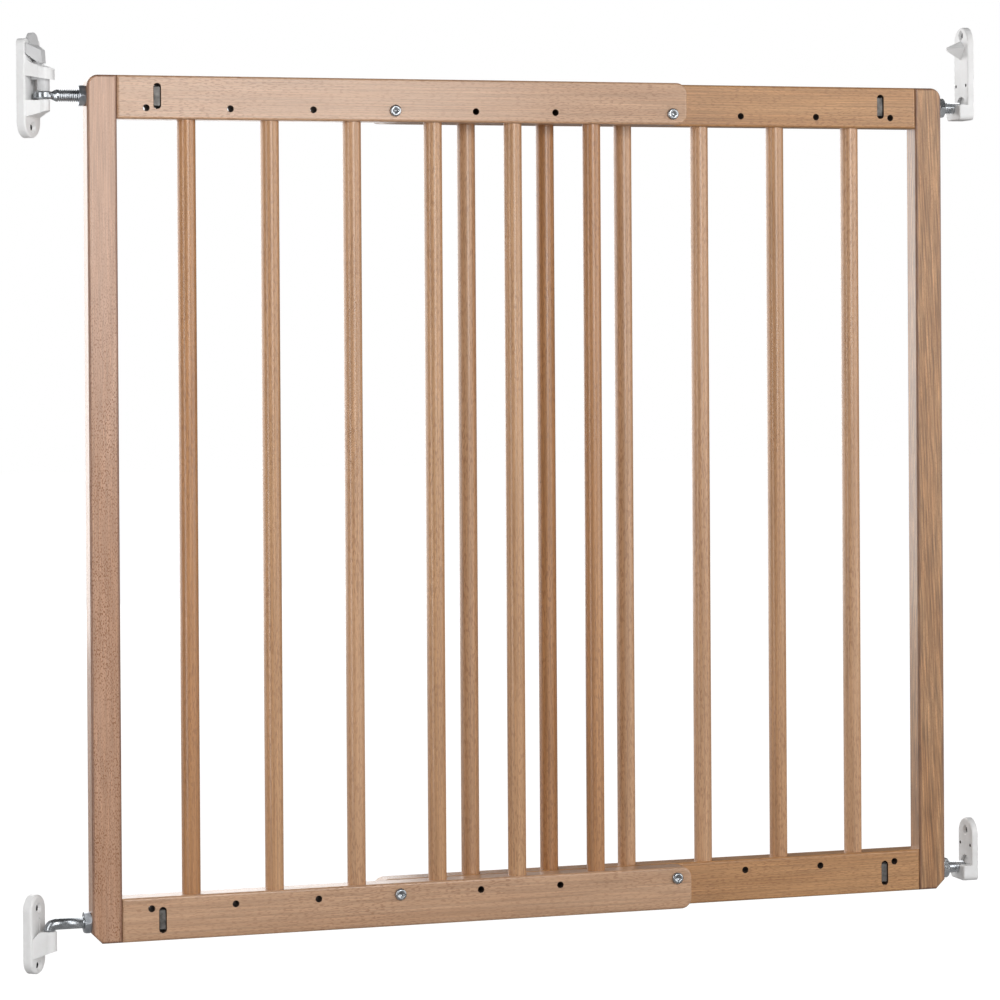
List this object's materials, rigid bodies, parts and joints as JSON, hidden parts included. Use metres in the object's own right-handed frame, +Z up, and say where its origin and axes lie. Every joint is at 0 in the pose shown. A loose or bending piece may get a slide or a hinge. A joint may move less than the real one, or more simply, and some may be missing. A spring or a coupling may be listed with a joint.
{
  "type": "safety baby gate",
  "caption": "Wooden safety gate of two bolted barred panels that widens to the doorway, lifts out of open wall catches and swings on hinge brackets.",
  "frame": {"origin": "centre of the lower hinge bracket's wall face", "axes": "+X along the gate from the hinge side to the catch side, +Y through the gate away from its front, +Z up"},
  "size_m": [0.8291, 0.0495, 0.767],
  "materials": {
    "beech": "clear lacquer",
    "zinc_steel": "zinc plated",
    "white_moulding": "moulded satin"
  },
  "bodies": {
    "hinge_brackets": {"upper_hinge_bracket": "white_moulding", "lower_hinge_bracket": "white_moulding"},
    "lock_slider": {"lock_slider": "white_moulding"},
    "hinge_spindles": {"upper_eye_spindle": "zinc_steel", "lower_bent_spindle": "zinc_steel"},
    "gate": {"front_stile": "beech", "front_upper_rail": "beech", "front_lower_rail": "beech", "front_bar_1": "beech", "front_bar_2": "beech", "front_bar_3": "beech", "front_bar_4": "beech", "front_bar_5": "beech", "front_bar_6": "beech", "front_upper_dowels": "beech", "front_lower_dowels": "beech", "back_stile": "beech", "back_upper_rail": "beech", "back_lower_rail": "beech", "back_bar_1": "beech", "back_bar_2": "beech", "back_bar_3": "beech", "back_bar_4": "beech", "back_bar_5": "beech", "back_bar_6": "beech", "back_upper_dowels": "beech", "back_lower_dowels": "beech", "front_upper_locknut": "zinc_steel", "front_lower_locknut": "zinc_steel", "front_upper_slot_nut": "zinc_steel", "front_lower_slot_nut": "zinc_steel", "back_upper_locknut": "zinc_steel", "back_lower_locknut": "zinc_steel", "back_upper_slot_nut": "zinc_steel", "back_lower_slot_nut": "zinc_steel", "upper_left_panel_bolt": "zinc_steel", "upper_left_panel_nut": "zinc_steel", "upper_right_panel_bolt": "zinc_steel", "upper_right_panel_nut": "zinc_steel", "lower_left_panel_bolt": "zinc_steel", "lower_left_panel_nut": "zinc_steel", "lower_right_panel_bolt": "zinc_steel", "lower_right_panel_nut": "zinc_steel"},
    "upper_stud": {"upper_catch_stud": "zinc_steel"},
    "lower_stud": {"lower_catch_stud": "zinc_steel"},
    "upper_catch": {"upper_catch_bracket": "white_moulding"},
    "lower_catch": {"lower_catch_bracket": "white_moulding"}
  },
  "joints": [
    {"name": "gate_lift", "type": "slide", "parent": "hinge_brackets", "child": "lock_slider", "axis": [0, 0, 1], "range_m": [0, 0.0077]},
    {"name": "gate_swing", "type": "hinge", "parent": "lock_slider", "child": "hinge_spindles", "pos_m": [0.0134, -0.01047, 0.0085], "axis": [0, 0, 1], "range_deg": [-123, 47]},
    {"name": "hinge_spindle_adjust", "type": "slide", "parent": "hinge_spindles", "child": "gate", "axis": [1, 0, 0], "range_m": [-0.01, 0.012]},
    {"name": "upper_stud_adjust", "type": "slide", "parent": "gate", "child": "upper_stud", "axis": [1, 0, 0], "range_m": [-0.006, 0.012]},
    {"name": "lower_stud_adjust", "type": "slide", "parent": "gate", "child": "lower_stud", "axis": [1, 0, 0], "range_m": [-0.006, 0.012]},
    {"name": "upper_catch_drop", "type": "slide", "parent": "upper_stud", "child": "upper_catch", "axis": [0, 0, 1], "range_m": [-0.0077, 0]},
    {"name": "lower_catch_drop", "type": "slide", "parent": "lower_stud", "child": "lower_catch", "axis": [0, 0, 1], "range_m": [-0.0077, 0]}
  ],
  "couplings": [
    {"joint": "upper_catch_drop", "follows": "gate_lift", "ratio": -1},
    {"joint": "lower_catch_drop", "follows": "gate_lift", "ratio": -1}
  ]
}
